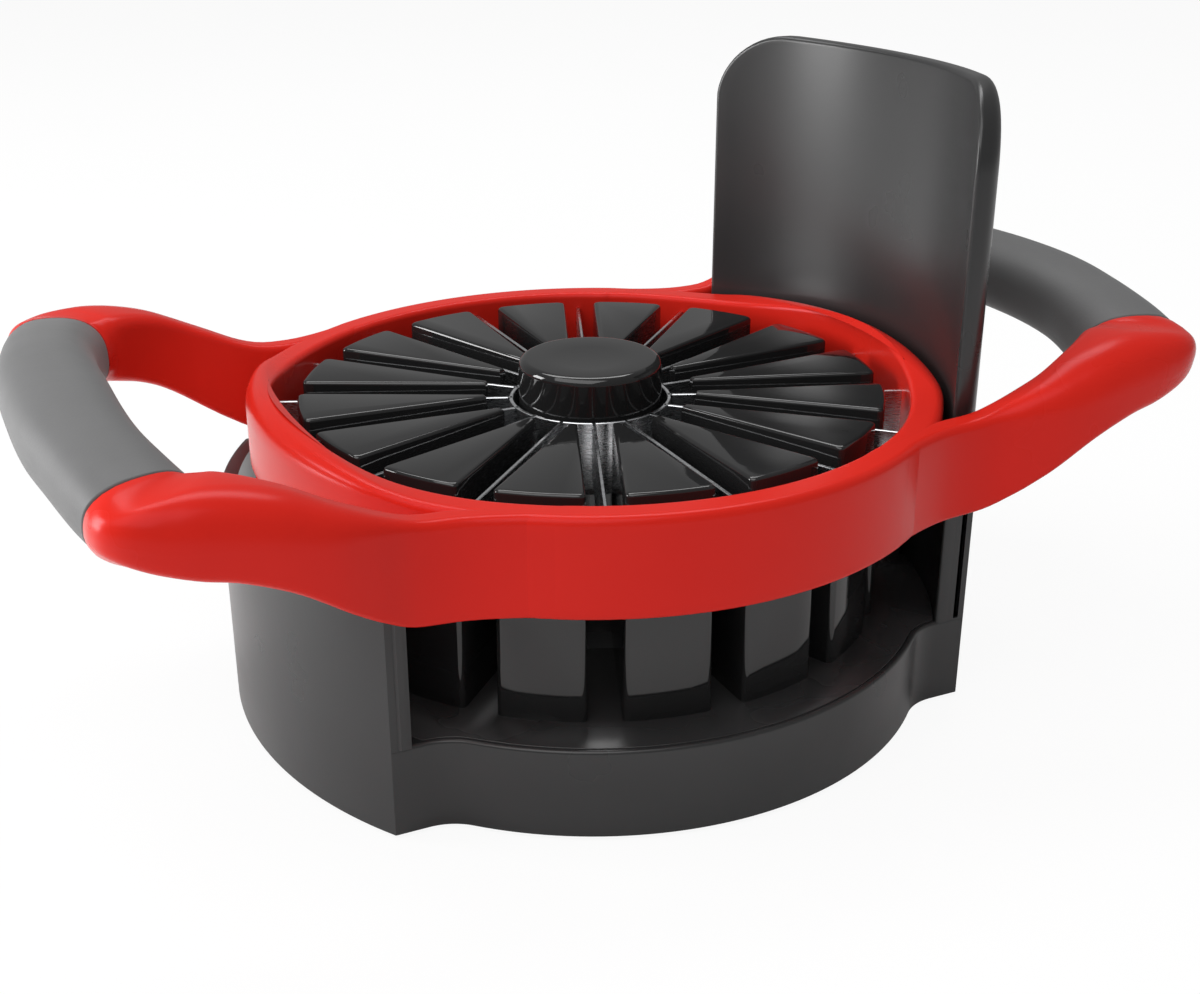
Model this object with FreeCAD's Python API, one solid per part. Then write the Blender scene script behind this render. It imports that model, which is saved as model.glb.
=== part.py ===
import FreeCAD, Part
import os
from math import copysign, cos, pi, radians, sin, sqrt, tan

# Apple slicer press: a slotted pusher base with two tall guide walls, and a
# bladed press frame with two soft grips that slides down over the walls.
# Millimetres. +Z up, X runs from grip to grip, the table is z = 0, and the
# vertical axis of the cutting ring is x = y = 0.

V = FreeCAD.Vector
UP = V(0, 0, 1)

# ---- cutting ring, from which everything else takes its place ---------------
ring_bore_radius = 52.7      # largest apple that passes
ring_wall = 5.3
ring_height = 15.6
ring_edge = 1.2              # chamfer of the ring's outer top edge
ring_lip = 0.8               # chamfer of its inner top edge
ring_side_cut = 1.1          # taken off the ring where it passes the walls
landing_height = 21.2        # stops that the ring comes to rest on, above the deck
landing_gap = 0.3            # ring above its stops at rest
landing_share = 0.4          # half length of a stop, of the walls' half width
travel = 67.0                # up to where the ring leaves the walls

# ---- base shell -----------------------------------------------------------
stand_off = 0.8              # rim above the table, on the feet
band_height = 14.5           # low front and back bands
band_inset = 0.7             # outer face of the bands inside the ring's
band_wall = 2.6
band_blend = 9.0             # hollow curve between a band and a wall end
band_chamfer = 0.5
lip = 1.0                    # rim of the shell that frames the deck
shoulder = 1.0               # ledge inside each wall that carries the deck
wall = 3.7                   # wall thickness above its foot
wall_step = 1.1              # ledge outside each wall, level with the stops
wall_share = 0.683           # half width of a wall, of the ring's outer radius
wall_cx = 9.0                # wall's plan centre beyond the ring's axis
wall_crown = 1.6             # drop of the top edge towards its corners
wall_corner_radius = 13.0    # round of a wall's top corners
wall_edge = 0.8              # chamfer of the walls' edges
slide_gap = 0.7              # between the ring and the walls
groove_width = 0.5           # shadow groove in the end of a wall's foot
groove_depth = 1.6
groove_offset = 1.9          # skin left outside the groove

# ---- pusher deck and pushers ----------------------------------------------
deck_thickness = 2.4
deck_fit = 0.1               # gap round the deck in its seat
slot_count = 16              # one blade slot per blade
slot_width = 5.1
slot_draft = 0.4             # the slots open by this much towards the top
pusher_gap = 3.7             # between the pushers and the ring
pusher_sink = 0.4            # pushers below the ring's top at rest
pusher_tip_gap = 2.4         # between the pushers and the coring ring
pusher_tip_half = 0.8        # least half width of a pusher's narrow end
pusher_dish = 1.2            # tops fall by this much towards the core
pusher_corner = 0.8          # chamfer of a pusher's outer corners
pusher_edge = 0.5            # chamfer round a pusher's top
pusher_wall = 1.6
core_radius = 12.0
core_rise = 4.5              # core pusher above the other pushers
core_edge = 1.2              # chamfer round the core pusher's top
core_spigot_radius = 7.5
core_fit = 0.05
rib_thickness = 1.6
rib_depth = 6.0

# ---- press frame ----------------------------------------------------------
arm_edge = 1.3               # chamfer of the arms' long edges
grip_wall = 3.2              # soft grip over its core
grip_power = 0.8             # 1 gives elliptical grips, less gives squarer ones
grip_sides = 16
core_sides = 8
core_overlap = 2.0           # core carried into the arms
keeper_width = 3.0           # ring that closes the blade slots from below
keeper_thickness = 1.6
keeper_inset = 0.9           # keeper outside the ring's bore
keeper_fit = 0.1

# ---- blades ---------------------------------------------------------------
blade_thickness = 0.6
blade_height = 11.2
blade_seat = 3.2             # length of a blade held in the ring
blade_fit = 0.05
bevel_height = 1.6
corer_gap = 1.0              # between the core pusher and the coring ring
corer_wall = 0.6
corer_drop = 1.5             # coring ring below the blades
hook_height = 5.0            # slots in the coring ring that take the blades

# ---- feet and screws ------------------------------------------------------
foot_radius = 4.5
foot_pocket = 0.8
foot_pad_thickness = 2.6
foot_pad_rim = 4.0           # pad round a foot's pocket
foot_inset_x = 7.5           # foot centre inside the wall's outer corner
foot_inset_y = 8.0
screw_radius = 1.5
screw_fit = 0.2
screw_length = 9.0
screw_head_radius = 2.8
screw_head_height = 1.6
screw_slot = 0.6
boss_half = 3.2              # half width of a square boss
boss_angle = 20.0
boss_height = 6.5            # under the deck
lug_thickness = 2.4

# ---- values that follow ---------------------------------------------------
ring_radius = ring_bore_radius + ring_wall
band_top = stand_off + band_height
deck_seat = band_top - deck_thickness
ring_bottom = band_top + landing_height + landing_gap
ring_top = ring_bottom + ring_height
wall_top = ring_bottom + travel
ledge = ring_bottom - landing_gap
wall_end_y = ring_radius * wall_share
wall_inner = ring_radius - ring_side_cut + slide_gap + wall_cx
wall_outer = wall_inner + wall
wall_radius = wall_outer + wall_step
wall_foot = wall + wall_step
wall_corner_x = sqrt(wall_radius**2 - wall_end_y**2) - wall_cx
band_radius = ring_radius - band_inset
pitch = 360.0 / slot_count
pusher_radius = ring_bore_radius - pusher_gap
pusher_top = ring_top - pusher_sink
core_top = pusher_top + core_rise
corer_radius = core_radius + corer_gap
corer_out = corer_radius + corer_wall
pusher_tip_radius = corer_out + pusher_tip_gap
keeper_in = ring_bore_radius + keeper_inset
keeper_out = keeper_in + keeper_width
blade_bottom = ring_bottom + keeper_thickness
blade_top = blade_bottom + blade_height
frame_reach = 2 * ring_radius  # beyond every part of the frame
lug_top = deck_seat - boss_height
lug_bottom = lug_top - lug_thickness


def cylinder(radius, z0, z1, x=0.0, y=0.0):
    return Part.makeCylinder(radius, z1 - z0, V(x, y, z0), UP)


def box(x0, x1, y0, y1, z0, z1):
    return Part.makeBox(x1 - x0, y1 - y0, z1 - z0, V(x0, y0, z0))


def tube(r_in, r_out, z0, z1):
    return cylinder(r_out, z0, z1).cut(cylinder(r_in, z0, z1))


def extrude(wire, height):
    return Part.Face(wire).extrude(V(0, 0, height))


def prism(points, along):
    """Solid swept from a polygon along a vector."""
    return Part.Face(Part.makePolygon(points + points[:1])).extrude(along)


def turned_profile(points):
    """Solid turned about the vertical axis from a polygon in the XZ plane."""
    return Part.Face(Part.makePolygon(points + points[:1])).revolve(V(0, 0, 0), UP, 360)


def turned(shape, angle):
    copy = shape.copy()
    copy.rotate(V(0, 0, 0), UP, angle)
    return copy


def mirrored(shape, normal):
    return shape.mirror(V(0, 0, 0), normal)


def four_ways(shape):
    both = [shape, mirrored(shape, V(1, 0, 0))]
    return both + [mirrored(s, V(0, 1, 0)) for s in both]


def arc(start, middle, end):
    return Part.Arc(start, middle, end).toShape()


def line(start, end):
    return Part.makeLine(start, end)


def save(shape, node):
    shape.exportStep(os.path.join("parts", node + ".step"))


# ---- base shell -----------------------------------------------------------
def base_outline(wall_inset, band_inset, z):
    """Closed plan outline of the base, drawn inside its walls and bands."""
    radius = wall_radius - wall_inset
    end_y = wall_end_y - band_inset
    band = band_radius - band_inset
    blend = band_blend + band_inset
    blend_x = sqrt((band + blend)**2 - (end_y + blend)**2)
    blend_y = end_y + blend
    on_band = V(blend_x, blend_y, 0) * (band / (band + blend))
    corner_x = sqrt(radius**2 - end_y**2) - wall_cx
    lean = V(on_band.x - blend_x, on_band.y - blend_y, 0) + V(0, -blend, 0)
    lean.normalize()
    middle = V(blend_x, blend_y, 0) + lean * blend

    def at(x, y):
        return V(x, y, z)

    edges = []
    for sx, sy in ((1, -1), (1, 1), (-1, 1), (-1, -1)):
        quarter = [
            arc(at(0, sy * band), at(sx * band * sin(radians(20)), sy * band * cos(radians(20))),
                at(sx * on_band.x, sy * on_band.y)),
            arc(at(sx * on_band.x, sy * on_band.y), at(sx * middle.x, sy * middle.y),
                at(sx * blend_x, sy * end_y)),
            line(at(sx * blend_x, sy * end_y), at(sx * corner_x, sy * end_y)),
            arc(at(sx * corner_x, sy * end_y),
                at(sx * (sqrt(radius**2 - (end_y / 2)**2) - wall_cx), sy * end_y / 2),
                at(sx * (radius - wall_cx), 0)),
        ]
        edges += quarter
    return Part.Wire(Part.__sortEdges__(edges))


def wall_plan(r_in, r_out, end_y, z):
    """Plan of the right-hand wall: a strip of arc between two flat ends."""
    def at(radius, y):
        return V(sqrt(radius**2 - y**2) - wall_cx, y, z)

    return Part.Wire([
        arc(at(r_out, -end_y), at(r_out, 0), at(r_out, end_y)),
        line(at(r_out, end_y), at(r_in, end_y)),
        arc(at(r_in, end_y), at(r_in, 0), at(r_in, -end_y)),
        line(at(r_in, -end_y), at(r_out, -end_y)),
    ])


def wall_side_profile():
    """Side view of a wall: flat ends, round corners and a crowned top."""
    inner_y = wall_end_y - wall_corner_radius
    crown_radius = (inner_y**2 + wall_crown**2) / (2 * wall_crown)
    crown_z = wall_top - crown_radius
    corner_z = crown_z + sqrt((crown_radius - wall_corner_radius)**2 - inner_y**2)
    reach = crown_radius / (crown_radius - wall_corner_radius)
    touch = V(0, inner_y * reach, crown_z + (corner_z - crown_z) * reach)
    toward = V(0, 1, 0) + V(0, inner_y, corner_z - crown_z).normalize()
    bulge = V(0, inner_y, corner_z) + toward.normalize() * wall_corner_radius

    def flip(p):
        return V(p.x, -p.y, p.z)

    side = V(0, wall_end_y, corner_z)
    foot = V(0, wall_end_y, stand_off)
    return Part.Wire([
        line(flip(foot), foot), line(foot, side), arc(side, bulge, touch),
        arc(touch, V(0, 0, wall_top), flip(touch)),
        arc(flip(touch), flip(bulge), flip(side)), line(flip(side), flip(foot)),
    ])


def guide_wall():
    """Right-hand wall, and the thicker foot that ends in a ledge outside it."""
    blank = extrude(wall_plan(wall_inner, wall_outer, wall_end_y, deck_seat), wall_top)
    shape = blank.common(Part.Face(wall_side_profile()).extrude(V(wall_radius * 2, 0, 0)))
    rims = [e for e in shape.Edges if e.BoundBox.ZLength > ring_height
            or (e.BoundBox.ZMin > band_top and e.BoundBox.YLength > wall_edge)]
    foot = extrude(wall_plan(wall_outer - wall / 2, wall_radius, wall_end_y, stand_off),
                   ledge - stand_off)
    return shape.makeChamfer(wall_edge, rims).fuse(foot)


def groove(side_y):
    r_out = wall_radius - groove_offset
    strip = extrude(wall_plan(r_out - groove_width, r_out, wall_end_y + 1.0, band_top),
                    ledge - band_top)
    return strip.common(box(0, wall_radius, side_y * wall_end_y - groove_depth,
                            side_y * wall_end_y + groove_depth, 0, ledge))


def boss_spots():
    reach = pusher_radius + boss_half
    x, y = reach * cos(radians(boss_angle)), reach * sin(radians(boss_angle))
    return [(sx * x, sy * y) for sx in (1, -1) for sy in (1, -1)]


def foot_spots():
    x, y = wall_corner_x - foot_inset_x, wall_end_y - foot_inset_y
    return [(sx * x, sy * y) for sx in (1, -1) for sy in (1, -1)]


def lug(x, y):
    """Bracket that runs from the wall to a screw under the deck."""
    near, far = x - copysign(boss_half, x), copysign(wall_radius, x)
    return box(min(near, far), max(near, far), y - boss_half, y + boss_half, lug_bottom, lug_top)


def base_shell():
    low = band_top - band_chamfer
    body = extrude(base_outline(0, 0, stand_off), low - stand_off)
    rim = Part.makeLoft([base_outline(0, 0, low), base_outline(0, band_chamfer, band_top)],
                        True, True)
    right = guide_wall()
    body = body.fuse([rim, right, mirrored(right, V(1, 0, 0))])
    cavity = extrude(base_outline(wall_foot + shoulder, band_wall, stand_off), deck_seat - stand_off)
    seat = extrude(base_outline(wall_foot, lip, deck_seat), deck_thickness)
    body = body.cut([cavity, seat])
    inside = extrude(base_outline(wall_foot, lip, stand_off), deck_seat - stand_off)
    extras = [lug(x, y).common(inside) for x, y in boss_spots()]
    for x, y in foot_spots():
        pad = cylinder(foot_radius + foot_pad_rim, stand_off, stand_off + foot_pad_thickness, x, y)
        extras.append(pad.common(inside))
    holes = [cylinder(screw_radius + screw_fit, 0, deck_seat, x, y) for x, y in boss_spots()]
    holes += [cylinder(foot_radius, 0, stand_off + foot_pocket, x, y) for x, y in foot_spots()]
    grooves = [groove(1), groove(-1)]
    holes += grooves + [mirrored(g, V(1, 0, 0)) for g in grooves]
    return body.fuse(extras).cut(holes)


# ---- pushers --------------------------------------------------------------
def wedge_tip(inset):
    """Where a pusher's inner end lies: clear of the coring ring and not too thin."""
    offset = ((slot_width + slot_draft) / 2 + inset) / cos(radians(pitch / 2))
    return max(pusher_tip_radius + inset, (offset + pusher_tip_half) / tan(radians(pitch / 2)))


def wedge_outline(inset, z):
    """Plan of one pusher along +X, drawn inside its foot by inset."""
    slope = tan(radians(pitch / 2))
    offset = ((slot_width + slot_draft) / 2 + inset) / cos(radians(pitch / 2))
    outer, tip_x = pusher_radius - inset, wedge_tip(inset)
    a, b, c = 1 + slope**2, -2 * slope * offset, offset**2 - outer**2
    end_x = (-b + sqrt(b * b - 4 * a * c)) / (2 * a)
    tip_y, end_y = tip_x * slope - offset, end_x * slope - offset
    return Part.Wire([
        line(V(tip_x, -tip_y, z), V(end_x, -end_y, z)),
        arc(V(end_x, -end_y, z), V(outer, 0, z), V(end_x, end_y, z)),
        line(V(end_x, end_y, z), V(tip_x, tip_y, z)),
        line(V(tip_x, tip_y, z), V(tip_x, -tip_y, z)),
    ])


def blade_slot():
    """Draughted slot along +X between two neighbouring pushers."""
    low, high = (slot_width - slot_draft / 2) / 2, (slot_width + slot_draft / 2) / 2
    return prism([V(0, -low, band_top), V(0, low, band_top),
                  V(0, high, pusher_top), V(0, -high, pusher_top)], V(pusher_radius + 1, 0, 0))


def pusher():
    """Hollow finger along +X with flat sides and a top that falls to the core."""
    r = pusher_radius
    disc = Part.makeCylinder(r, pusher_top - band_top, V(0, 0, band_top), UP, pitch)
    slot = blade_slot()
    solid = turned(disc.cut([slot, turned(slot, pitch)]), -pitch / 2)
    above = prism([V(0, -r, pusher_top - pusher_dish), V(r, -r, pusher_top),
                   V(r, -r, pusher_top + 1), V(0, -r, pusher_top + 1)], V(0, 2 * r, 0))
    solid = solid.cut([box(0, wedge_tip(0), -r, r, 0, pusher_top), above])
    corners = [e for e in solid.Edges if e.BoundBox.ZLength > (pusher_top - band_top) * 0.9
               and e.BoundBox.XMin > pusher_radius / 2]
    solid = solid.makeChamfer(pusher_corner, corners)
    rim = [e for e in solid.Edges if e.BoundBox.ZMin > pusher_top - pusher_dish - 0.01]
    solid = solid.makeChamfer(pusher_edge, rim)
    ceiling = pusher_top - pusher_dish - pusher_wall
    return solid.cut(extrude(wedge_outline(pusher_wall, band_top), ceiling - band_top))


def landing_rib():
    """Low wall behind the pushers on which the frame comes to rest."""
    half = wall_end_y * landing_share
    rib = tube(keeper_in, ring_radius - ring_side_cut - deck_fit * 4, band_top, ledge)
    return rib.common(box(0, ring_radius, -half, half, 0, ring_bottom))


def pusher_deck():
    plate = extrude(base_outline(wall_foot + deck_fit, lip + deck_fit, deck_seat), deck_thickness)
    rib = landing_rib()
    parts = [rib, mirrored(rib, V(1, 0, 0))]
    parts += [box(x - boss_half, x + boss_half, y - boss_half, y + boss_half, lug_top, deck_seat)
              for x, y in boss_spots()]
    bar = box(-pusher_radius, pusher_radius, -rib_thickness / 2, rib_thickness / 2,
              deck_seat - rib_depth, deck_seat)
    parts += [turned(bar, k * 2 * pitch) for k in range(slot_count // 4)]
    parts.append(cylinder(core_radius, deck_seat - rib_depth, deck_seat))
    cuts = [cylinder(core_spigot_radius + core_fit, deck_seat - rib_depth, band_top)]
    pocket = extrude(wedge_outline(pusher_wall, deck_seat), deck_thickness)
    cuts += [turned(pocket, (k + 0.5) * pitch) for k in range(slot_count)]
    cuts += [cylinder(screw_radius, lug_top, lug_bottom + screw_length, x, y)
             for x, y in boss_spots()]
    return plate.fuse(parts).cut(cuts)


def core_pusher():
    return turned_profile([
        V(0, 0, deck_seat), V(core_spigot_radius, 0, deck_seat),
        V(core_spigot_radius, 0, band_top), V(core_radius, 0, band_top),
        V(core_radius, 0, core_top - core_edge), V(core_radius - core_edge, 0, core_top),
        V(0, 0, core_top),
    ])


# ---- screws and feet ------------------------------------------------------
def deck_screws():
    screws = []
    for x, y in boss_spots():
        shank = cylinder(screw_radius, lug_bottom, lug_bottom + screw_length, x, y)
        head = cylinder(screw_head_radius, lug_bottom - screw_head_height, lug_bottom, x, y)
        slot = box(x - screw_head_radius, x + screw_head_radius, y - screw_slot / 2,
                   y + screw_slot / 2, 0, lug_bottom - screw_head_height / 2)
        screws.append(shank.fuse(head).cut(slot))
    return Part.makeCompound(screws)


def foot(x, y):
    return cylinder(foot_radius, 0, stand_off + foot_pocket, x, y)


# ---- press frame ----------------------------------------------------------
# Front right arm, by points. Plan points are (x beyond the ring, y beyond the
# wall's end); heights are (x beyond the ring, z above the ring's own face).
arm_outer = [(-18.0, 5.9), (-10.5, 5.9), (-4.5, 8.1), (1.0, 9.9), (7.5, 10.7), (14.5, 10.6),
             (21.0, 9.9), (26.0, 8.1), (29.3, 4.9), (30.6, 1.0), (30.8, -2.6)]
arm_inner = [(-18.0, 1.4), (-10.5, 1.4), (-1.4, 2.0), (5.6, 0.9), (11.0, -2.0), (14.2, -5.0),
             (15.4, -7.6)]
arm_bottom = [(-30.0, 0.0), (-18.0, 0.0), (-10.5, 0.6), (-5.7, 3.0), (-1.7, 5.6), (6.2, 11.0),
              (13.6, 14.1), (19.0, 15.2), (23.5, 16.6), (27.0, 18.1), (29.5, 19.3), (32.0, 20.3)]
arm_top = [(-30.0, 0.0), (-18.0, 0.0), (-10.5, 0.8), (-1.7, 4.6), (6.2, 8.4), (13.6, 10.4),
           (20.0, 10.9), (25.0, 10.1), (28.6, 8.8), (32.0, 7.2)]
arm_root_angle = 56.0        # where an arm leaves the ring
arm_root_depth = 1.3         # how far inside the ring's wall it starts
# Right grip from an end to its middle: share of its half length, outer and inner
# x beyond the ring, heights of its underside and top over the ring's own faces.
grip_stations = [
    (1.00, 30.8, 15.4, 14.6, 11.0), (0.85, 32.2, 17.1, 15.3, 12.2),
    (0.62, 33.8, 19.0, 16.4, 13.4), (0.35, 35.3, 19.8, 17.1, 14.3),
    (0.00, 35.8, 20.0, 17.4, 14.6),
]


def spline(points):
    curve = Part.BSplineCurve()
    curve.interpolate(points)
    return curve.toShape()


def strip(side_a, side_b):
    """Face between two splines whose ends are joined by straight lines."""
    return Part.Face(Part.Wire([
        spline(side_a), line(side_a[-1], side_b[-1]),
        spline(side_b[::-1]), line(side_b[0], side_a[0]),
    ]))


def arm_side(offsets, root_radius):
    """Plan points of one side of the front right arm, from its root."""
    angle = radians(arm_root_angle)
    root = V(root_radius * cos(angle), -root_radius * sin(angle), 0)
    return [root] + [V(ring_radius + x, -wall_end_y - y, 0) for x, y in offsets]


def arm():
    plan = strip(arm_side(arm_outer, ring_radius),
                 arm_side(arm_inner, ring_bore_radius + arm_root_depth))
    side = strip([V(ring_radius + x, -frame_reach, ring_bottom + z) for x, z in arm_bottom],
                 [V(ring_radius + x, -frame_reach, ring_top + z) for x, z in arm_top])
    solid = plan.extrude(V(0, 0, frame_reach)).common(side.extrude(V(0, frame_reach, 0)))
    end_x = ring_radius + (arm_outer[-1][0] + arm_inner[-1][0]) / 2
    for outer in (True, False):
        edges = [e for e in solid.Edges if e.BoundBox.XLength > ring_radius / 2
                 and (e.BoundBox.XMax > end_x) == outer]
        solid = solid.makeChamfer(arm_edge, edges)
    return solid


def grip_loop(station, way, margin, count):
    """Rounded upright loop of the right grip; way is 1 at the back, -1 at the front."""
    share, outer_x, inner_x, low, high = station
    outer = V(ring_radius + outer_x, way * share * (wall_end_y + arm_outer[-1][1]), 0)
    inner = V(ring_radius + inner_x, way * share * (wall_end_y + arm_inner[-1][1]), 0)
    bottom, top = ring_bottom + low, ring_top + high
    middle = (outer + inner) / 2 + UP * (bottom + top) / 2
    half = (outer - inner) / 2
    half *= 1 - margin / half.Length
    rise = (top - bottom) / 2 - margin
    loop = []
    for k in range(count):
        angle = 2 * pi * (k + 0.5) / count
        c, s = cos(angle), sin(angle)
        loop.append(middle + half * copysign(abs(c)**grip_power, c)
                    + UP * (rise * copysign(abs(s)**grip_power, s)))
    return loop


def skin(loops):
    """Closed solid of flat triangles through loops of equal length."""
    faces = [Part.Face(Part.makePolygon(end + end[:1])) for end in (loops[0], loops[-1])]
    for one, two in zip(loops, loops[1:]):
        for a, b, c, d in zip(one, one[1:] + one[:1], two, two[1:] + two[:1]):
            faces.append(Part.Face(Part.makePolygon([a, b, d, a])))
            faces.append(Part.Face(Part.makePolygon([a, d, c, a])))
    return Part.makeSolid(Part.makeShell(faces))


def grip_loops(margin, count):
    front = [grip_loop(s, -1, margin, count) for s in grip_stations]
    return front + [grip_loop(s, 1, margin, count) for s in grip_stations[-2::-1]]


def grip_core():
    """Bar inside a grip that runs a little way into both arms."""
    loops = grip_loops(grip_wall, core_sides)
    first, last = [[p + V(0, way * core_overlap, 0) for p in loop]
                   for loop, way in ((loops[0], -1), (loops[-1], 1))]
    return skin([first] + loops[1:-1] + [last])


def grip():
    return skin(grip_loops(0, grip_sides)).cut(grip_core())


def ring():
    """Cutting ring, flattened at its sides to pass between the walls."""
    z0, z1, r0, r1 = ring_bottom, ring_top, ring_bore_radius, ring_radius
    whole = turned_profile([
        V(r0, 0, z0), V(r1, 0, z0), V(r1, 0, z1 - ring_edge), V(r1 - ring_edge, 0, z1),
        V(r0 + ring_lip, 0, z1), V(r0, 0, z1 - ring_lip),
    ])
    clear = wall_inner - slide_gap
    return whole.common(cylinder(clear, z0, z1, wall_cx)).common(cylinder(clear, z0, z1, -wall_cx))


def press_frame():
    core = grip_core()
    frame = ring().fuse(four_ways(arm()) + [core, mirrored(core, V(1, 0, 0))])
    cuts = [tube(keeper_in - keeper_fit, keeper_out + keeper_fit, ring_bottom, blade_bottom)]
    half = blade_thickness / 2 + blade_fit
    slot = box(ring_bore_radius - 1, ring_bore_radius + blade_seat + blade_fit, -half, half,
               ring_bottom, blade_top + blade_fit)
    cuts += [turned(slot, k * pitch) for k in range(slot_count)]
    return frame.cut(cuts)


# ---- blades ---------------------------------------------------------------
def blade():
    half = blade_thickness / 2
    start, end = corer_out + blade_fit, ring_bore_radius - blade_fit
    section = [V(start, -half, blade_top), V(start, half, blade_top),
               V(start, half, blade_bottom + bevel_height), V(start, 0, blade_bottom),
               V(start, -half, blade_bottom + bevel_height)]
    body = prism(section, V(end - start, 0, 0))
    seat = box(end, ring_bore_radius + blade_seat, -half, half, blade_bottom, blade_top)
    hook = box(corer_radius, start, -half, half, blade_top - hook_height, blade_top)
    return body.fuse([seat, hook]).removeSplitter()


def coring_ring():
    low = blade_bottom - corer_drop
    outline = [V(corer_radius, 0, low), V(corer_out, 0, low + bevel_height),
               V(corer_out, 0, blade_top), V(corer_radius, 0, blade_top)]
    half = blade_thickness / 2 + blade_fit
    slot = box(corer_radius - 1, corer_out + 1, -half, half, blade_top - hook_height, blade_top)
    return turned_profile(outline).cut([turned(slot, k * pitch) for k in range(slot_count)])


def keeper_ring():
    return tube(keeper_in, keeper_out, ring_bottom, blade_bottom)


def main():
    os.makedirs("parts", exist_ok=True)
    save(base_shell(), "base_shell")
    save(pusher_deck(), "pusher_deck")
    save(core_pusher(), "core_pusher")
    save(deck_screws(), "deck_screws")
    one_pusher, one_blade = pusher(), blade()
    for k in range(slot_count):
        save(turned(one_pusher, (k + 0.5) * pitch), "pusher_%02d" % (k + 1))
        save(turned(one_blade, k * pitch), "blade_%02d" % (k + 1))
    for k, (x, y) in enumerate(foot_spots()):
        save(foot(x, y), "foot_%d" % (k + 1))
    save(press_frame(), "press_frame")
    right_grip = grip()
    save(right_grip, "grip_right")
    save(mirrored(right_grip, V(1, 0, 0)), "grip_left")
    save(coring_ring(), "coring_ring")
    save(keeper_ring(), "blade_keeper_ring")


main()
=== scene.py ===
from math import atan2, cos, pi, radians, sin, sqrt, tan

import bmesh
import bpy
from mathutils import Matrix, Vector


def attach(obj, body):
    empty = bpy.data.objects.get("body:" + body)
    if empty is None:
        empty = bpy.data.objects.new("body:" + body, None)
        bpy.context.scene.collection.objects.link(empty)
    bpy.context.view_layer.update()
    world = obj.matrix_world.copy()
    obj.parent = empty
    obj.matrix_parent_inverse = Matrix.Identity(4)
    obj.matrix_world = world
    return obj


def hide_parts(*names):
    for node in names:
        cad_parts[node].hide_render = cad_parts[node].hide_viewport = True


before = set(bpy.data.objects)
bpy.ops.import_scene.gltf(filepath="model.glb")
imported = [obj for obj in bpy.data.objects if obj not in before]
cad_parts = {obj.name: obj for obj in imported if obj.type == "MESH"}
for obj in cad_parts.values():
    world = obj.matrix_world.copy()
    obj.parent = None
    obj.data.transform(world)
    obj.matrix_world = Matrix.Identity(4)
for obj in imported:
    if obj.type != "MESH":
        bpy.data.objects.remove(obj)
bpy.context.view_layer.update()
MM = 0.001

# ---- sizes in millimetres ----------------------------------------------------
# They are the part's own, but for the tops, edges and grooves of the guide walls,
# the pushers' tips and the post's spigot.
BORE_R = 52.7                # inside of the ring
RING_R = 58.0                # outside of the ring
RING_CLEAR = 65.9            # radius of the ring's flattened sides, about WALL_CX
RING_LOW, RING_TOP = 36.8, 52.4

WALL_CX = 9.0                # a wall curves about a line this far past the axis
WALL_R, WALL = 70.3, 3.7     # outer radius of a wall, and its thickness
FOOT_R, FOOT = 71.4, 4.8     # the same of its foot
LEDGE = 36.5                 # top of the foot
WALL_END_Y = 39.614          # half width of a wall
WALL_TOP, WALL_SAG = 102.6, 0.8
WALL_CORNER = 13.0
WALL_EDGES = (0.9, 1.6)      # rounds of a wall's inner and outer edges
GROOVE_W, GROOVE_D = 0.8, 1.8
GROOVE_OFF = 0.9             # from the foot's outer face to the groove
TUCK = 0.05                  # hides one shape's face behind another's

STAND_OFF = 0.8              # underside of the base, above the worktop
BAND_TOP, BAND_R, BAND_WALL = 15.3, 57.3, 2.6
BAND_BLEND = 9.0             # hollow round from a band to a wall's foot
LIP, SHOULDER = 1.0, 1.0     # of the shell round and under the deck
DECK_T = 2.4

SLOTS, SLOT_W = 16, 5.1
SLOT_DRAFT = 0.4             # how much wider a slot is at its top
PITCH = 2 * pi / SLOTS
PUSHER_R, PUSHER_TIP = 49.0, 17.6
PUSHER_TOP, PUSHER_DISH = 52.0, 1.2
CORE_R, CORE_TOP, SPIGOT_R = 12.0, 56.5, 7.4

CORER_R, CORER_WALL = 13.0, 0.6
BLADE_LOW, BLADE_TOP = 38.4, 49.6
BLADE_SEAT = 3.2             # length of a blade held in the ring
BLADE_BEVEL = 1.6


# ---- mesh helpers ------------------------------------------------------------
def new_object(name, bm, smooth_angle=35.0):
    """Object from a bmesh in millimetres, smooth but for its sharp edges."""
    bmesh.ops.recalc_face_normals(bm, faces=bm.faces)
    bm.transform(Matrix.Scale(MM, 4))
    mesh = bpy.data.meshes.new(name)
    bm.to_mesh(mesh)
    bm.free()
    mesh.shade_smooth()
    mesh.set_sharp_from_angle(angle=radians(smooth_angle))
    obj = bpy.data.objects.new(name, mesh)
    bpy.context.scene.collection.objects.link(obj)
    return obj


def bake(obj):
    """Turns what an object's modifiers make into its own plain mesh."""
    graph = bpy.context.evaluated_depsgraph_get()
    mesh = bpy.data.meshes.new_from_object(obj.evaluated_get(graph))
    obj.modifiers.clear()
    obj.data = mesh
    return obj


def loft(bm, loops, closed=False, caps=True):
    """Quads through loops of equal length; closed joins the last to the first."""
    rings = [[bm.verts.new(p) for p in loop] for loop in loops]
    pairs = list(zip(rings, rings[1:]))
    if closed:
        pairs.append((rings[-1], rings[0]))
    for one, two in pairs:
        for a, b, c, d in zip(one, one[1:] + one[:1], two, two[1:] + two[:1]):
            bm.faces.new((a, b, d, c))
    if caps and not closed:
        bm.faces.new(rings[0][::-1])
        bm.faces.new(rings[-1])
    return rings


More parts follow.
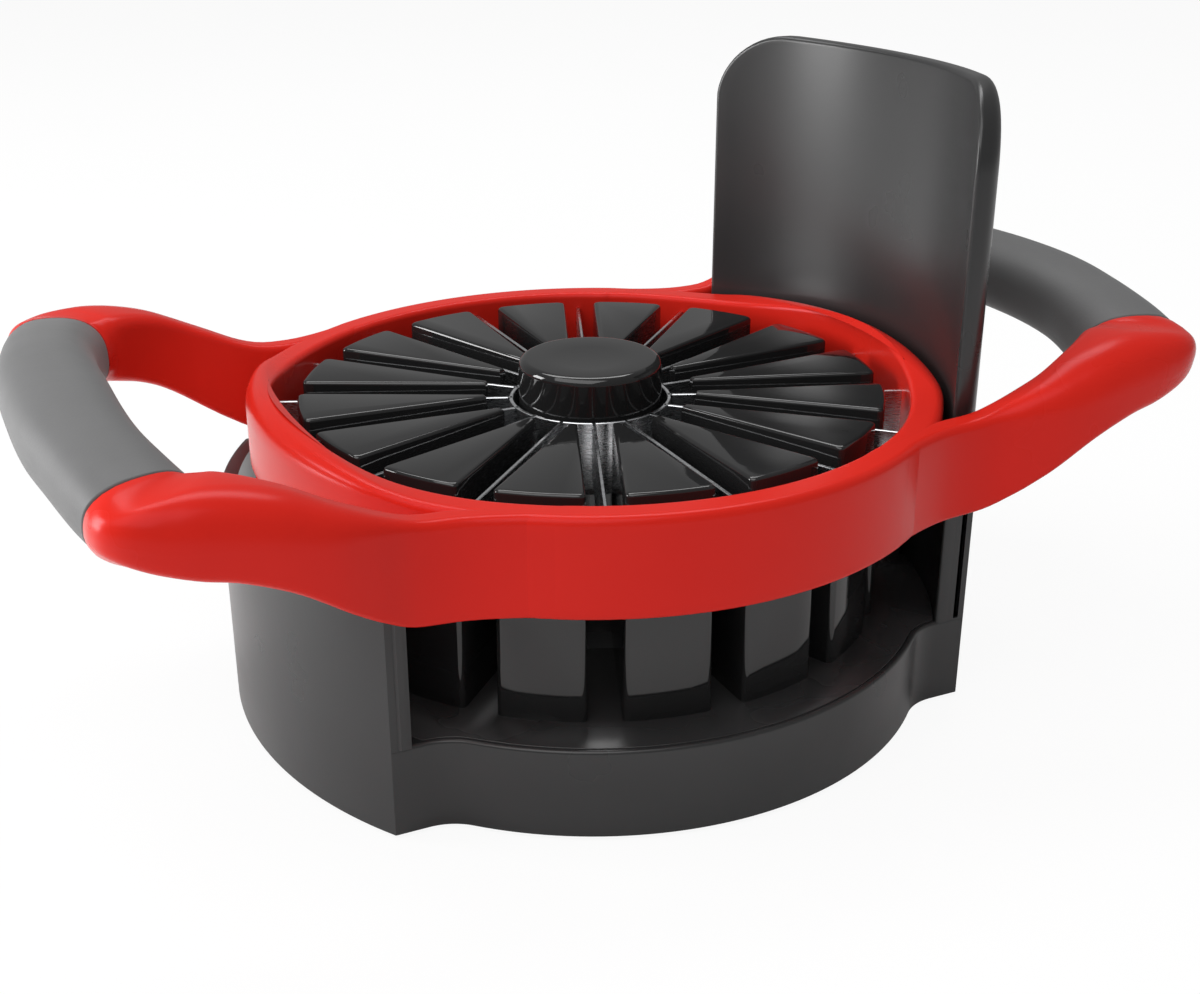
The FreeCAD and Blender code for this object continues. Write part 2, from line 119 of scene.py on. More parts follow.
def lathe(profile, steps):
    """Closed solid turned from (radius, z) points that form a loop or touch the axis."""
    bm = bmesh.new()
    on_axis = profile[0][0] == 0 and profile[-1][0] == 0
    points = profile[1:-1] if on_axis else profile
    loops = [[Vector((r * cos(a), r * sin(a), z)) for a in
              (2 * pi * k / steps for k in range(steps))] for r, z in points]
    rings = loft(bm, loops, closed=not on_axis, caps=False)
    if on_axis:
        for (_, z), ring in ((profile[0], rings[0]), (profile[-1], rings[-1])):
            tip = bm.verts.new((0, 0, z))
            for a, b in zip(ring, ring[1:] + ring[:1]):
                bm.faces.new((a, b, tip))
    return bm


def rounded_corner(corner, before, after, radius, steps):
    """Points of the arc that rounds a corner between two neighbouring points."""
    u, v = (before - corner).normalized(), (after - corner).normalized()
    half = u.angle(v) / 2
    start, end = corner + u * radius / tan(half), corner + v * radius / tan(half)
    centre = corner + (u + v).normalized() * radius / sin(half)
    points = []
    for k in range(steps + 1):
        t = k / steps
        spoke = (start - centre).slerp(end - centre, t)
        points.append(centre + spoke.normalized() * radius)
    return points


def spline(rows, steps):
    """Catmull-Rom line through rows of numbers, steps to a span."""
    out = []
    last = len(rows) - 1
    for k in range(last):
        p = [rows[max(k - 1, 0)], rows[k], rows[k + 1], rows[min(k + 2, last)]]
        for s in range(steps):
            u = s / steps
            out.append([0.5 * (2 * b + (c - a) * u + (2 * a - 5 * b + 4 * c - d) * u * u
                               + (3 * b - 3 * c + d - a) * u**3) for a, b, c, d in zip(*p)])
    out.append(list(rows[-1]))
    return out


# ---- materials ---------------------------------------------------------------
class Material:
    """Small builder for a procedural material on Object coordinates."""

    def __init__(self, name):
        self.material = bpy.data.materials.new(name)
        self.material.use_nodes = True
        self.tree = self.material.node_tree
        self.shader = self.tree.nodes["Principled BSDF"]
        self.place = self.tree.nodes.new("ShaderNodeTexCoord").outputs["Object"]

    def set(self, **values):
        for key, value in values.items():
            self.shader.inputs[key.replace("_", " ")].default_value = value
        return self

    def noise(self, scale, detail=2.0, roughness=0.5, stretch=None):
        source = self.place
        if stretch:
            mapping = self.tree.nodes.new("ShaderNodeMapping")
            mapping.inputs["Scale"].default_value = stretch
            self.tree.links.new(source, mapping.inputs["Vector"])
            source = mapping.outputs["Vector"]
        node = self.tree.nodes.new("ShaderNodeTexNoise")
        node.inputs["Scale"].default_value = scale
        node.inputs["Detail"].default_value = detail
        node.inputs["Roughness"].default_value = roughness
        self.tree.links.new(source, node.inputs["Vector"])
        return node.outputs["Fac"]

    def ramp(self, factor, *stops):
        node = self.tree.nodes.new("ShaderNodeValToRGB")
        ramp = node.color_ramp
        while len(ramp.elements) < len(stops):
            ramp.elements.new(0.5)
        for element, (position, value) in zip(ramp.elements, stops):
            element.position = position
            grey = isinstance(value, (int, float))
            element.color = (value, value, value, 1) if grey else (*value, 1)
        self.tree.links.new(factor, node.inputs["Fac"])
        return node.outputs["Color"]

    def feed(self, socket, output):
        self.tree.links.new(output, self.shader.inputs[socket])
        return self

    def bump(self, *layers):
        """layers are (height, strength, distance in metres)."""
        normal = None
        for height, strength, distance in layers:
            node = self.tree.nodes.new("ShaderNodeBump")
            node.inputs["Strength"].default_value = strength
            node.inputs["Distance"].default_value = distance
            self.tree.links.new(height, node.inputs["Height"])
            if normal:
                self.tree.links.new(normal, node.inputs["Normal"])
            normal = node.outputs["Normal"]
        return self.feed("Normal", normal)


def charcoal_plastic():
    m = Material("charcoal_satin_plastic").set(IOR=1.48, Specular_IOR_Level=0.45)
    m.feed("Base Color", m.ramp(m.noise(38, 4), (0.15, (0.020, 0.020, 0.0205)),
                                (0.85, (0.026, 0.026, 0.0265))))
    m.feed("Roughness", m.ramp(m.noise(60, 3), (0.15, 0.26), (0.85, 0.31)))
    return m.bump((m.noise(1500, 3), 0.10, 0.00006), (m.noise(55, 2), 0.012, 0.0003)).material


def black_plastic(name, tone, dull):
    m = Material(name).set(IOR=1.5)
    m.feed("Base Color", m.ramp(m.noise(30, 3), (0.15, (tone, tone, tone)),
                                (0.85, (1.4 * tone, 1.4 * tone, 1.45 * tone))))
    m.feed("Roughness", m.ramp(m.noise(45, 3), (0.15, dull), (0.85, 1.6 * dull)))
    return m.bump((m.noise(40, 2), 0.01, 0.0003)).material


def red_plastic():
    m = Material("red_gloss_plastic").set(IOR=1.45, Specular_IOR_Level=0.2,
                                          Specular_Tint=(1.0, 0.5, 0.62, 1.0))
    m.feed("Base Color", m.ramp(m.noise(24, 3), (0.15, (0.58, 0.016, 0.009)),
                                (0.85, (0.63, 0.021, 0.012))))
    m.feed("Roughness", m.ramp(m.noise(50, 3), (0.15, 0.24), (0.85, 0.29)))
    return m.bump((m.noise(1300, 2), 0.05, 0.00005), (m.noise(45, 2), 0.015, 0.0003)).material


def grip_rubber():
    m = Material("grey_soft_touch").set(IOR=1.45, Sheen_Weight=0.12, Sheen_Roughness=0.5)
    m.feed("Base Color", m.ramp(m.noise(55, 5, 0.6), (0.2, (0.098, 0.098, 0.099)),
                                (0.8, (0.114, 0.114, 0.115))))
    m.feed("Roughness", m.ramp(m.noise(80, 3), (0.3, 0.52), (0.7, 0.62)))
    return m.bump((m.noise(2600, 2), 0.22, 0.00008), (m.noise(90, 2), 0.05, 0.0003)).material


def blade_steel():
    m = Material("ground_steel").set(Metallic=1.0, Anisotropic=0.3)
    m.feed("Base Color", m.ramp(m.noise(60, 4), (0.3, (0.60, 0.61, 0.63)),
                                (0.7, (0.70, 0.71, 0.72))))
    m.feed("Roughness", m.ramp(m.noise(700, 3, stretch=(1, 1, 14)), (0.3, 0.18), (0.7, 0.34)))
    return m.bump((m.noise(900, 2, stretch=(1, 1, 16)), 0.12, 0.00003)).material


def screw_steel():
    m = Material("plated_screw_steel").set(Metallic=1.0)
    m.feed("Base Color", m.ramp(m.noise(300, 3), (0.3, (0.48, 0.47, 0.45)),
                                (0.7, (0.60, 0.59, 0.57))))
    m.feed("Roughness", m.ramp(m.noise(900, 2), (0.3, 0.25), (0.7, 0.42)))
    return m.bump((m.noise(1500, 2), 0.1, 0.00004)).material


def foot_rubber():
    m = Material("black_foot_rubber").set(IOR=1.45)
    m.feed("Base Color", m.ramp(m.noise(220, 4), (0.3, (0.014, 0.014, 0.015)),
                                (0.7, (0.024, 0.024, 0.025))))
    m.feed("Roughness", m.ramp(m.noise(300, 2), (0.3, 0.7), (0.7, 0.85)))
    return m.bump((m.noise(1800, 2), 0.25, 0.00008)).material


CHARCOAL, RED, GRIP = charcoal_plastic(), red_plastic(), grip_rubber()
BLACK = black_plastic("polished_black_plastic", 0.011, 0.04)
DECK = black_plastic("satin_black_plastic", 0.024, 0.2)
STEEL, SCREW, PAD = blade_steel(), screw_steel(), foot_rubber()


def piece(obj, material, body, slot, *nodes):
    """Finishes a piece: its material, its body and the nodes it stands for. Its slot is not used.
    """
    obj.data.materials.clear()
    obj.data.materials.append(material)
    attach(obj, body)
    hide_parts(*nodes)
    return obj


# ---- copies by Geometry Nodes ------------------------------------------------
def copies_tree():
    """Places copies of a part on points, turned in even steps about the axis."""
    tree = bpy.data.node_groups.new("even copies", "GeometryNodeTree")
    for name, kind in (("Geometry", "NodeSocketGeometry"), ("Part", "NodeSocketObject"),
                       ("Count", "NodeSocketInt"), ("Step Angle", "NodeSocketFloat"),
                       ("First Angle", "NodeSocketFloat"), ("Material", "NodeSocketMaterial")):
        tree.interface.new_socket(name, in_out="INPUT", socket_type=kind)
    tree.interface.new_socket("Geometry", in_out="OUTPUT", socket_type="NodeSocketGeometry")

    def node(kind, **settings):
        n = tree.nodes.new(kind)
        for key, value in settings.items():
            setattr(n, key, value)
        return n

    def link(out, to):
        tree.links.new(out, to)

    given, out = node("NodeGroupInput"), node("NodeGroupOutput")
    points = node("GeometryNodePoints")
    part = node("GeometryNodeObjectInfo")
    part.inputs["As Instance"].default_value = False
    turn = node("ShaderNodeMath", operation="MULTIPLY_ADD")
    spin = node("ShaderNodeCombineXYZ")
    copies = node("GeometryNodeInstanceOnPoints")
    real = node("GeometryNodeRealizeInstances")
    paint = node("GeometryNodeSetMaterial")
    link(given.outputs["Count"], points.inputs["Count"])
    link(given.outputs["Part"], part.inputs["Object"])
    link(node("GeometryNodeInputIndex").outputs["Index"], turn.inputs[0])
    link(given.outputs["Step Angle"], turn.inputs[1])
    link(given.outputs["First Angle"], turn.inputs[2])
    link(turn.outputs[0], spin.inputs["Z"])
    link(points.outputs[0], copies.inputs["Points"])
    link(part.outputs["Geometry"], copies.inputs["Instance"])
    link(spin.outputs[0], copies.inputs["Rotation"])
    link(copies.outputs[0], real.inputs[0])
    link(real.outputs[0], paint.inputs["Geometry"])
    link(given.outputs["Material"], paint.inputs["Material"])
    link(paint.outputs[0], out.inputs[0])
    return tree


COPIES = copies_tree()


def round_the_axis(name, part, count, first_angle, material):
    """Plain mesh of count copies of a part, evenly round the axis."""
    host = bpy.data.objects.new(name, bpy.data.meshes.new(name))
    bpy.context.scene.collection.objects.link(host)
    modifier = host.modifiers.new("copies", "NODES")
    modifier.node_group = COPIES
    sockets = {s.name: s.identifier for s in COPIES.interface.items_tree if s.in_out == "INPUT"}
    modifier[sockets["Part"]] = part
    modifier[sockets["Count"]] = count
    modifier[sockets["Step Angle"]] = 2 * pi / count
    modifier[sockets["First Angle"]] = first_angle
    modifier[sockets["Material"]] = material
    bake(host)
    bpy.data.objects.remove(part)
    return host


# ---- base shell --------------------------------------------------------------
def base_loop(wall_inset, band_inset, z):
    """Plan outline of the base, drawn inside its walls and bands."""
    band_steps, blend_steps, flat_steps, foot_steps = 24, 12, 4, 30
    radius, end_y = FOOT_R - wall_inset, WALL_END_Y - band_inset
    band, blend = BAND_R - band_inset, BAND_BLEND + band_inset
    blend_x, blend_y = sqrt((band + blend)**2 - (end_y + blend)**2), end_y + blend
    touch = atan2(blend_x, blend_y)
    corner_x = sqrt(radius**2 - end_y**2) - WALL_CX
    quarter = []
    for k in range(band_steps):
        a = touch * k / band_steps
        quarter.append((band * sin(a), band * cos(a)))
    start = atan2(-cos(touch), -sin(touch))
    for k in range(blend_steps + 1):
        a = start + (-pi / 2 - start) * k / blend_steps
        quarter.append((blend_x + blend * cos(a), blend_y + blend * sin(a)))
    for k in range(1, flat_steps + 1):
        quarter.append((blend_x + (corner_x - blend_x) * k / flat_steps, end_y))
    end = atan2(end_y, corner_x + WALL_CX)
    for k in range(1, foot_steps + 1):
        a = end * (1 - k / foot_steps)
        quarter.append((radius * cos(a) - WALL_CX, radius * sin(a)))
    half = quarter + [(x, -y) for x, y in quarter[-2::-1]]
    return [Vector((x, y, z)) for x, y in half + [(-x, y) for x, y in half[-2:0:-1]]]


def wall_profile(inset):
    """Right half of a wall's side view (y, z), from its foot to its middle."""
    side_steps, corner_steps, top_steps = 20, 14, 12
    inner, corner_z = WALL_END_Y - WALL_CORNER, WALL_TOP - WALL_CORNER
    radius, end = WALL_CORNER - inset, WALL_END_Y - inset - TUCK
    points = [(end, STAND_OFF + (corner_z - STAND_OFF) * k / side_steps)
              for k in range(side_steps)]
    points += [(min(end, inner + radius * cos(a)), corner_z + radius * sin(a))
               for a in (pi / 2 * k / corner_steps for k in range(corner_steps + 1))]
    points += [(inner * (1 - k / top_steps), WALL_TOP - inset)
               for k in range(1, top_steps + 1)]
    sag = [WALL_SAG * (1 - (y / WALL_END_Y)**2) * max(0, z - corner_z) / WALL_CORNER
           for y, z in points]
    return [(y, z - drop) for (y, z), drop in zip(points, sag)]


def guide_wall(side):
    """One tall wall, with rounded edges down its ends and over its top."""
    edge_steps, across = 6, 40
    middle = WALL_R - WALL / 2
    bm = bmesh.new()

    def place(y, z, depth):
        return Vector((side * (sqrt((middle + depth)**2 - y * y) - WALL_CX), y, z))

    rims = [[(edge * (1 - sin(a)), WALL / 2 - edge * (1 - cos(a)))
             for a in (pi / 2 * k / edge_steps for k in range(edge_steps + 1))]
            for edge in WALL_EDGES]
    rings = []
    for inset, depth in [(i, -d) for i, d in rims[0]] + [(i, d) for i, d in rims[1][::-1]]:
        half = wall_profile(inset)
        path = half + [(-y, z) for y, z in half[-2::-1]]
        rings.append([bm.verts.new(place(y, z, depth)) for y, z in path])
    for one, two in zip(rings, rings[1:]):
        for a, b, c, d in zip(one, one[1:], two, two[1:]):
            bm.faces.new((a, b, d, c))
    for ring, depth in ((rings[0], -WALL / 2), (rings[-1], WALL / 2)):
        last = len(ring) - 1
        before = None
        for k in range(last // 2 + 1):
            left, right = ring[k], ring[last - k]
            if left is right:
                for a, b in zip(before, before[1:]):
                    bm.faces.new((a, b, left))
                break
            y, z = left.co.y, left.co.z
            row = [left] + [bm.verts.new(place(y * (1 - 2 * j / across), z, depth))
                            for j in range(1, across)] + [right]
            if before:
                for a, b, c, d in zip(before, before[1:], row, row[1:]):
                    bm.faces.new((a, b, d, c))
            before = row
    feet = [e for e in bm.edges if e.is_boundary]
    bmesh.ops.contextual_create(bm, geom=feet)
    return bm


def wall_foot(side):
    """Thicker foot of a wall, up to the ledge outside it."""
    bm = bmesh.new()
    half_steps, ease, ease_steps = 20, 0.3, 3
    there = range(2 * half_steps + 1)

    def plan(inset, z):
        points = []
        for radius, steps in ((FOOT_R - inset, there),
                              (WALL_R - WALL_EDGES[1] + TUCK, there[::-1])):
            end = WALL_END_Y - TUCK - (inset if radius > WALL_R else 0)
            for k in steps:
                y = end * (k / half_steps - 1)
                points.append(Vector((side * (sqrt(radius**2 - y * y) - WALL_CX), y, z)))
        return points

    loops = [plan(0, STAND_OFF), plan(0, LEDGE - ease)]
    loops += [plan(ease * (1 - cos(a)), LEDGE - ease * (1 - sin(a)))
              for a in (pi / 2 * k / ease_steps for k in range(1, ease_steps + 1))]
    loft(bm, loops)
    return bm


def cut(obj, tool):
    """Cuts the tool out of an object, and removes the tool."""
    modifier = obj.modifiers.new("cut", "BOOLEAN")
    modifier.object, modifier.operation, modifier.solver = tool, "DIFFERENCE", "EXACT"
    bake(obj)
    bpy.data.objects.remove(tool)
    return obj


def groove_tool(top):
    """Thin curved slips that cut the shadow grooves in the walls' ends."""
    bm = bmesh.new()
    past_end = 0.5
    outer = FOOT_R - GROOVE_OFF
    for sx in (1, -1):
        for sy in (1, -1):
            loops = []
            for y in (WALL_END_Y - GROOVE_D, WALL_END_Y - GROOVE_D / 2, WALL_END_Y,
                      WALL_END_Y + past_end):
                x0, x1 = [sx * (sqrt(r * r - y * y) - WALL_CX) for r in (outer - GROOVE_W, outer)]
                loops.append([Vector((x0, sy * y, BAND_TOP)), Vector((x1, sy * y, BAND_TOP)),
                              Vector((x1, sy * y, top)), Vector((x0, sy * y, top))])
            loft(bm, loops)
    return new_object("groove_tool", bm)


def joined(name, *objects):
    """One object from several, each with its mesh as it is."""
    bm = bmesh.new()
    for obj in objects:
        bm.from_mesh(obj.data)
        bpy.data.objects.remove(obj)
    bm.transform(Matrix.Scale(1 / MM, 4))
    return new_object(name, bm)


def shell():
    """Walls, their feet and the low base, joined to one mesh."""
    # The feet's grooves run out through the ledge.
    walls = [cut(joined(form.__name__, *[new_object("half", form(side)) for side in (1, -1)]),
                 groove_tool(top)) for form, top in ((guide_wall, LEDGE), (wall_foot, LEDGE + 1))]
    bm = bmesh.new()
    low, edge, edge_steps, chamfer = BAND_TOP - DECK_T, 0.6, 4, 0.15
    loops = [base_loop(TUCK, 0, STAND_OFF)]
    loops += [base_loop(TUCK, edge * (1 - cos(a)), BAND_TOP - edge * (1 - sin(a)))
              for a in (pi / 2 * k / edge_steps for k in range(edge_steps + 1))]
    loops += [base_loop(FOOT, LIP - chamfer, BAND_TOP),
              base_loop(FOOT, LIP, BAND_TOP - chamfer),
              base_loop(FOOT, LIP, low), base_loop(FOOT + SHOULDER, BAND_WALL, low),
              base_loop(FOOT + SHOULDER, BAND_WALL, STAND_OFF)]
    loft(bm, loops, closed=True)
    return joined("base_shell_dressed", *walls, new_object("base", bm))


# ---- pushers -----------------------------------------------------------------
def pusher_loop(inset, z_of):
    """Rounded plan of one pusher along +X."""
    bow_steps, side_steps = 8, 6
    corner, corner_steps, least_tip = 0.9, 4, 0.25
    slope = tan(PITCH / 2)
    offset = (SLOT_W / 2 + inset) / cos(PITCH / 2)
    outer, tip = PUSHER_R - inset, PUSHER_TIP + inset
    a, b, c = 1 + slope**2, -2 * slope * offset, offset**2 - outer**2
    end_x = (-b + sqrt(b * b - 4 * a * c)) / (2 * a)
    end_y = end_x * slope - offset
    tip_y = max(tip * slope - offset, least_tip)
    bow = [Vector((outer * cos(t), outer * sin(t), 0)) for t in
           (atan2(end_y, end_x) * (2 * k / bow_steps - 1) for k in range(1, bow_steps))]
    start, end = Vector((end_x, -end_y, 0)), Vector((end_x, end_y, 0))
    tips = [Vector((tip, tip_y, 0)), Vector((tip, -tip_y, 0))]
    flat = rounded_corner(start, tips[1], bow[0], corner, corner_steps) + bow[1:-1]
    flat += rounded_corner(end, bow[-1], tips[0], corner, corner_steps)
    flat += [end.lerp(tips[0], k / side_steps) for k in range(1, side_steps)]
    flat += tips
    flat += [tips[1].lerp(start, k / side_steps) for k in range(1, side_steps)]
    return [Vector((p.x, p.y, z_of(p.x))) for p in flat]


def pushers():
    """The pushers, narrower by the slots' draft at their dished tops."""
    def top(x):
        return PUSHER_TOP - PUSHER_DISH * (PUSHER_R - x) / PUSHER_R

    bm = bmesh.new()
    edge, edge_steps, straight = 0.6, 4, 4
    loops = [pusher_loop(0, lambda x: BAND_TOP),
             pusher_loop(SLOT_DRAFT / 2, lambda x: top(x) - edge - straight),
             pusher_loop(SLOT_DRAFT / 2, lambda x: top(x) - edge)]
    for k in range(1, edge_steps + 1):
        a = pi / 2 * k / edge_steps
        loops.append(pusher_loop(SLOT_DRAFT / 2 + edge * (1 - cos(a)),
                                 lambda x, a=a: top(x) - edge * (1 - sin(a))))
    loft(bm, loops)
    one = new_object("one_pusher", bm)
    obj = round_the_axis("pushers_dressed", one, SLOTS, PITCH / 2, BLACK)
    return piece(obj, BLACK, "base", "deck_plastic", *["pusher_%02d" % k for k in range(1, 17)])


def core_post():
    """Round post on its spigot, with a slightly dished top."""
    foot, edge, edge_steps, dish_half, dish = 0.4, 1.4, 6, 0.25, 0.4
    profile = [(0, BAND_TOP - DECK_T), (SPIGOT_R, BAND_TOP - DECK_T), (SPIGOT_R, BAND_TOP),
               (CORE_R - foot, BAND_TOP), (CORE_R, BAND_TOP + foot)]
    profile += [(CORE_R - edge * (1 - cos(a)), CORE_TOP - edge * (1 - sin(a)))
                for a in (pi / 2 * k / edge_steps for k in range(edge_steps + 1))]
    profile += [(CORE_R / 2, CORE_TOP - dish_half), (0, CORE_TOP - dish)]
    obj = new_object("core_pusher_dressed", lathe(profile, 96))
    return piece(obj, BLACK, "base", "deck_plastic", "core_pusher")


def refined(node, edge):
    """Merged copy of a CAD node with its edges eased a little."""
    same_place, flat, sharp = 1e-6, radians(0.4), radians(40)
    bm = bmesh.new()
    bm.from_mesh(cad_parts[node].data)
    bmesh.ops.remove_doubles(bm, verts=bm.verts, dist=same_place)
    bmesh.ops.dissolve_limit(bm, angle_limit=flat, verts=bm.verts, edges=bm.edges)
    mesh = bpy.data.meshes.new(node + "_dressed")
    bm.to_mesh(mesh)
    bm.free()
    obj = bpy.data.objects.new(node + "_dressed", mesh)
    bpy.context.scene.collection.objects.link(obj)
    modifier = obj.modifiers.new("eased", "BEVEL")
    modifier.width, modifier.segments, modifier.limit_method = edge * MM, 2, "ANGLE"
    modifier.angle_limit = sharp
    bake(obj)
    obj.data.shade_smooth()
    obj.data.set_sharp_from_angle(angle=sharp)
    return obj


# ---- blades ------------------------------------------------------------------
def blades():
    """Thin blades with a ground lower edge, each hooked over the coring ring."""
    bm = bmesh.new()
    half, chamfer, sharp, into_hook, hook_drop = 0.3, 0.1, 0.03, 0.2, 5
    start, end = CORER_R + CORER_WALL + 0.05, BORE_R + BLADE_SEAT
    section = [(-half, BLADE_TOP - chamfer), (-half + chamfer, BLADE_TOP),
               (half - chamfer, BLADE_TOP), (half, BLADE_TOP - chamfer),
               (half, BLADE_LOW + BLADE_BEVEL), (sharp, BLADE_LOW), (-sharp, BLADE_LOW),
               (-half, BLADE_LOW + BLADE_BEVEL)]
    loft(bm, [[Vector((x, y, z)) for y, z in section] for x in (start, (start + end) / 2, end)])
    hook = [(-half, BLADE_TOP), (half, BLADE_TOP), (half, BLADE_TOP - hook_drop),
            (-half, BLADE_TOP - hook_drop)]
    loft(bm, [[Vector((x, y, z)) for y, z in hook] for x in (CORER_R, start + into_hook)])
    one = new_object("one_blade", bm, 20)
    obj = round_the_axis("blades_dressed", one, SLOTS, 0.0, STEEL)
    return piece(obj, STEEL, "press", "blade_steel", *["blade_%02d" % k for k in range(1, 17)])


def coring_ring():
    """Thin ring in the middle, ground to an edge below the blades."""
    low, sharp, chamfer = BLADE_LOW - 1.5, 0.04, 0.1
    out = CORER_R + CORER_WALL
    profile = [(CORER_R + sharp, low), (out, low + BLADE_BEVEL), (out, BLADE_TOP - chamfer),
               (out - chamfer, BLADE_TOP), (CORER_R + chamfer, BLADE_TOP),
               (CORER_R, BLADE_TOP - chamfer), (CORER_R, low)]
    obj = new_object("coring_ring_dressed", lathe(profile, 128), 20)
    return piece(obj, STEEL, "press", "blade_steel", "coring_ring")


# ---- press frame -------------------------------------------------------------
# Heights of the arms by x beyond the ring: underside over the ring's underside,
# top over the ring's top.
ARM_LOW = [(-30.0, 0.0), (-18.0, 0.0), (-10.5, 0.6), (-5.7, 3.0), (-1.7, 5.6), (6.2, 11.0),
           (13.6, 14.1), (19.0, 15.2), (23.5, 16.6), (27.0, 18.1), (29.5, 19.3), (32.0, 20.3)]
ARM_TOP = [(-30.0, 0.0), (-18.0, 0.0), (-10.5, 0.8), (-1.7, 4.6), (6.2, 8.4), (13.6, 10.4),
           (20.0, 10.9), (25.0, 10.1), (28.6, 8.8), (32.0, 7.2)]
# Right arm of the front, from the ring to the grip: outer x beyond the ring and y
# beyond the wall's end, the same for the inner side, how far its section has
# turned into the grip's, and the round of its edges.
ARM_STATIONS = [
    (-25.6, 8.5, -27.8, 5.2, 0.0, 1.1), (-18.0, 5.9, -18.0, 1.4, 0.0, 1.1),
    (-10.5, 5.9, -10.5, 1.4, 0.0, 1.2), (-4.5, 8.1, -3.8, 1.9, 0.02, 1.4),
    (1.0, 9.9, 1.0, 1.9, 0.05, 1.7), (7.5, 10.7, 5.8, 0.8, 0.1, 2.0),
    (14.5, 10.6, 9.8, -1.2, 0.2, 2.3), (21.0, 9.9, 12.6, -3.4, 0.35, 2.4),
    (26.0, 8.1, 14.0, -4.8, 0.55, 2.2), (29.3, 4.9, 14.8, -6.1, 0.75, 1.8),
    (30.6, 1.0, 15.2, -7.0, 0.92, 1.6), (30.8, -2.6, 15.4, -7.6, 1.0, 1.5),
]
ARM_ROUND = 3.4              # extra round of the arms' upper outer edge
GRIP_SQUARE = 2.5            # exponent of the grips' rounded sections
# The joint of arm and grip: moved towards the arm, and more so above JOINT_Z.
JOINT_SHIFT, JOINT_LEAN, JOINT_Z = 1.5, 0.45, 57.4
JOINT_BACK, JOINT_SHARE = 0.35, 0.955    # its narrow V: how far back, and how far in


def height_line(rows):
    """Height at any x, from a smooth line through (x, height) rows."""
    line = spline(rows, 10)

    def height(x):
        x = min(max(x, line[0][0]), line[-1][0])
        for (x0, z0), (x1, z1) in zip(line, line[1:]):
            if x <= x1:
                return z0 + (z1 - z0) * (x - x0) / (x1 - x0)

    return height


def ring_station(angle):
    """Outer and inner point of the ring, turned from its front."""
    s, c = sin(radians(angle)), cos(radians(angle))
    near = sqrt(RING_CLEAR**2 - (WALL_CX * c)**2) - WALL_CX * abs(s)
    outer = min(RING_R, near)
    return [outer * s, -outer * c, BORE_R * s, -BORE_R * c, 0.0, 1.1]


def frame_section(row, low, top):
    """Upright section of ring or arm with round corners."""
    corner_steps, side_steps = 6, 9
    ox, oy, ix, iy, _, ease = row
    far, near = abs(ox) - RING_R, abs(ix) - RING_R
    corners = [Vector((ox, oy, RING_LOW + low(far))), Vector((ox, oy, RING_TOP + top(far))),
               Vector((ix, iy, RING_TOP + top(near))), Vector((ix, iy, RING_LOW + low(near)))]
    # The crest's extra round comes in past the ring and goes out towards the grip.
    extra = min(max((far + 10) / 14, 0), max((31 - far) / 9, 0), 1)
    rounds = (0.7 * ease, 1.2 * ease + ARM_ROUND * extra, ease, 0.7 * ease)
    arcs = [rounded_corner(corners[k], corners[k - 1], corners[(k + 1) % 4], radius, corner_steps)
            for k, radius in enumerate(rounds)]
    loop = []
    for arc, following in zip(arcs, arcs[1:] + arcs[:1]):
        loop += arc
        loop += [arc[-1].lerp(following[0], k / side_steps) for k in range(1, side_steps)]
    return loop


def rounder(loop, turned, outer, inner, low, top):
    """Moves a section's points towards the rounded section of a grip's end."""
    middle = (outer + inner) / 2
    middle.z = (low + top) / 2
    across, rise = (outer - inner) / 2, (top - low) / 2
    across.z = 0
    half = across.length
    points = []
    for p in loop:
        u, v = (p - middle).dot(across) / half**2, (p.z - middle.z) / rise
        reach = (abs(u)**GRIP_SQUARE + abs(v)**GRIP_SQUARE)**(-1 / GRIP_SQUARE)
        goal = middle + across * u * reach + Vector((0, 0, rise * v * reach))
        points.append(p.lerp(goal, turned))
    return points


def mirrored_loops(loops, axis):
    """The same sections with x or y turned round."""
    flip = Vector((-1, 1, 1)) if axis == "x" else Vector((1, -1, 1))
    return [[p * flip for p in loop] for loop in loops]


def leaned(p, weight, end=-1):
    """Tilts the joint of arm and grip, its upper part towards the arm."""
    move = weight * (JOINT_SHIFT + JOINT_LEAN * (p.z - JOINT_Z))
    return Vector((p.x, p.y + end * move, p.z))


def joint_end(loops):
    """Ends a run of sections in half of the narrow V between arm and grip."""
    before, last = loops[-2:]
    centre = sum(last, Vector()) / len(last)
    back = [p.lerp(q, JOINT_BACK / (p - q).length) for p, q in zip(last, before)]
    return loops[:-1] + [back, [centre + (p - centre) * JOINT_SHARE for p in last]]


def arm_and_front():
    """Sections from the middle of the ring's front to the right front joint."""
    low, top = height_line(ARM_LOW), height_line(ARM_TOP)
    end_low, end_top = grip_row(GRIP_STATIONS[0])[4:]
    ring = [ring_station(angle) for angle in (-6, 0, 6, 12, 18, 24, 29)]
    arm = [[RING_R + a, -WALL_END_Y - b, RING_R + c, -WALL_END_Y - d, e, f]
           for a, b, c, d, e, f in ARM_STATIONS]
    steps = 5
    loops = []
    for row in spline(ring + arm, steps)[steps:]:
        ox, oy, ix, iy, turned, _ = row
        loop = frame_section(row, low, top)
        share = turned * turned
        bottom, crest = min(p.z for p in loop), max(p.z for p in loop)
        bottom += (end_low - bottom) * share
        crest += (end_top - crest) * share
        loop = rounder(loop, turned, Vector((ox, oy, 0)), Vector((ix, iy, 0)), bottom, crest)
        loops.append([leaned(p, share) for p in loop])
    return joint_end(loops)


